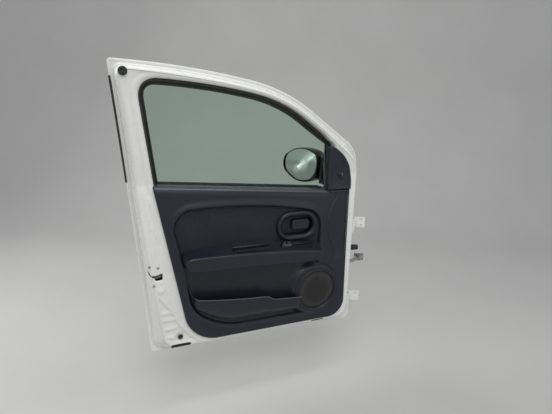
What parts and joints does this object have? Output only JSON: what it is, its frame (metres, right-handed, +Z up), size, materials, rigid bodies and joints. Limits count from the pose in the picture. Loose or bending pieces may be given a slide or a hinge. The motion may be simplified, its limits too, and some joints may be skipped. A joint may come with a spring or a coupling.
{
  "type": "car front door",
  "caption": "Front left door of a small car with trim, window, mirror, latch and hinges, open on its pillar hinges.",
  "frame": {"origin": "middle of the upper hinge's pillar face", "axes": "+X along the open door towards its hinges, +Y outboard through the door, +Z up"},
  "size_m": [1.07, 0.393, 1.1329],
  "materials": {
    "white_paint": "gloss white",
    "tinted_glass": "green tinted, clear",
    "black_rubber": "matt",
    "black_trim": "grained, dark navy black",
    "insert_cloth": "ribbed",
    "gloss_black": "gloss black",
    "steel": "zinc plated",
    "mirror_silver": "polished"
  },
  "bodies": {
    "pillar_side": {"pillar_leaf_upper": "white_paint", "pillar_leaf_lower": "white_paint", "hinge_pin_upper": "steel", "hinge_pin_lower": "steel", "check_bracket": "steel", "check_pin": "steel"},
    "door": {"inner_panel": "white_paint", "outer_skin": "white_paint", "door_glass": "tinted_glass", "glass_run": "black_rubber", "belt_seal_inner": "black_rubber", "belt_seal_outer": "black_rubber", "pillar_applique": "gloss_black", "trim_panel": "black_trim", "trim_insert": "insert_cloth", "handle_bezel": "black_trim", "release_lever": "black_trim", "armrest": "black_trim", "map_pocket": "black_trim", "speaker_ring": "black_trim", "speaker_grille": "black_trim", "sail_trim": "black_trim", "mirror_knob": "black_trim", "window_switch": "gloss_black", "latch": "steel", "rubber_stop": "black_rubber", "drain_plug": "black_rubber", "handle_cup": "black_trim", "outer_handle": "black_trim", "lock_cylinder": "steel", "door_leaf_upper": "white_paint", "door_leaf_lower": "white_paint", "check_box": "black_trim", "mirror_foot": "black_trim", "wiring_boot": "black_rubber"},
    "check_arm": {"check_arm": "steel"},
    "mirror": {"mirror_housing": "gloss_black", "mirror_glass": "mirror_silver"}
  },
  "joints": [
    {"name": "door_swing", "type": "hinge", "parent": "pillar_side", "child": "door", "pos_m": [-0.04722, -0.01925, -0.183], "axis": [0, 0, 1], "range_deg": [0, 64]},
    {"name": "check_arm_swing", "type": "hinge", "parent": "pillar_side", "child": "check_arm", "pos_m": [0.00241, -0.01787, -0.169], "axis": [0, 0, 1], "range_deg": [0, 20]},
    {"name": "mirror_fold", "type": "hinge", "parent": "door", "child": "mirror", "pos_m": [-0.15922, 0.07075, 0.193], "axis": [0, 0, 1], "range_deg": [-55, 45]}
  ],
  "couplings": [
    {"joint": "check_arm_swing", "follows": "door_swing", "ratio": 0.2866}
  ]
}
